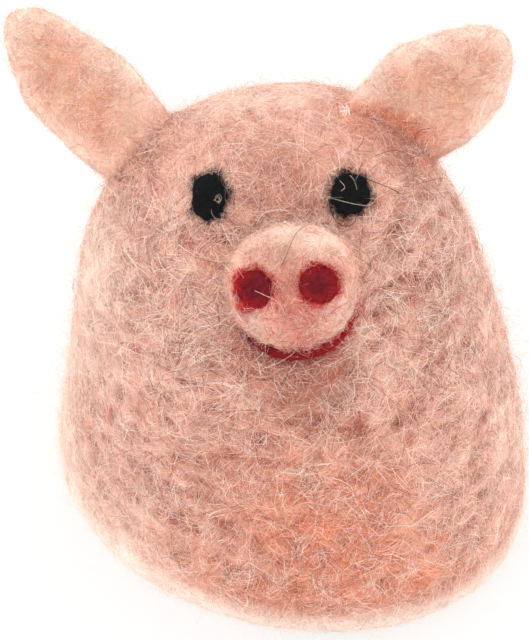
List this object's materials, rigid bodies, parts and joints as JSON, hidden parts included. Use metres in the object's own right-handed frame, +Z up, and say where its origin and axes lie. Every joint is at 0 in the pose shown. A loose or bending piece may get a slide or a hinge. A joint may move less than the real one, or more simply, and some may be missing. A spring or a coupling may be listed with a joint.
{
  "type": "egg cosy",
  "caption": "Hollow domed egg cosy of pink wool felt with a pig's face: upright ears, round snout with nostrils, small mouth and dark eyes. Slips over a boiled egg to keep it warm.",
  "frame": {"origin": "middle of the footprint, on the surface that the hem rests on", "axes": "+Z up through the crown, -Y out of the face, +X to the right of the face as it is looked at"},
  "size_m": [0.0915, 0.0886, 0.0966],
  "materials": {
    "felt_rose": "fulled wool knit, softly pilled and hairy",
    "felt_peach": "needle-felted wool, smooth with a short fuzz",
    "felt_cream": "needle-felted wool, smooth with a short fuzz",
    "felt_red": "needle-felted wool, matt",
    "felt_black": "needle-felted wool, matt"
  },
  "bodies": {
    "root": {"body": "felt_rose", "ear_left": "felt_peach", "ear_right": "felt_peach", "snout": "felt_cream", "mouth": "felt_red", "nostril_left": "felt_red", "nostril_right": "felt_red", "eye_left": "felt_black", "eye_right": "felt_black"}
  },
  "joints": []
}
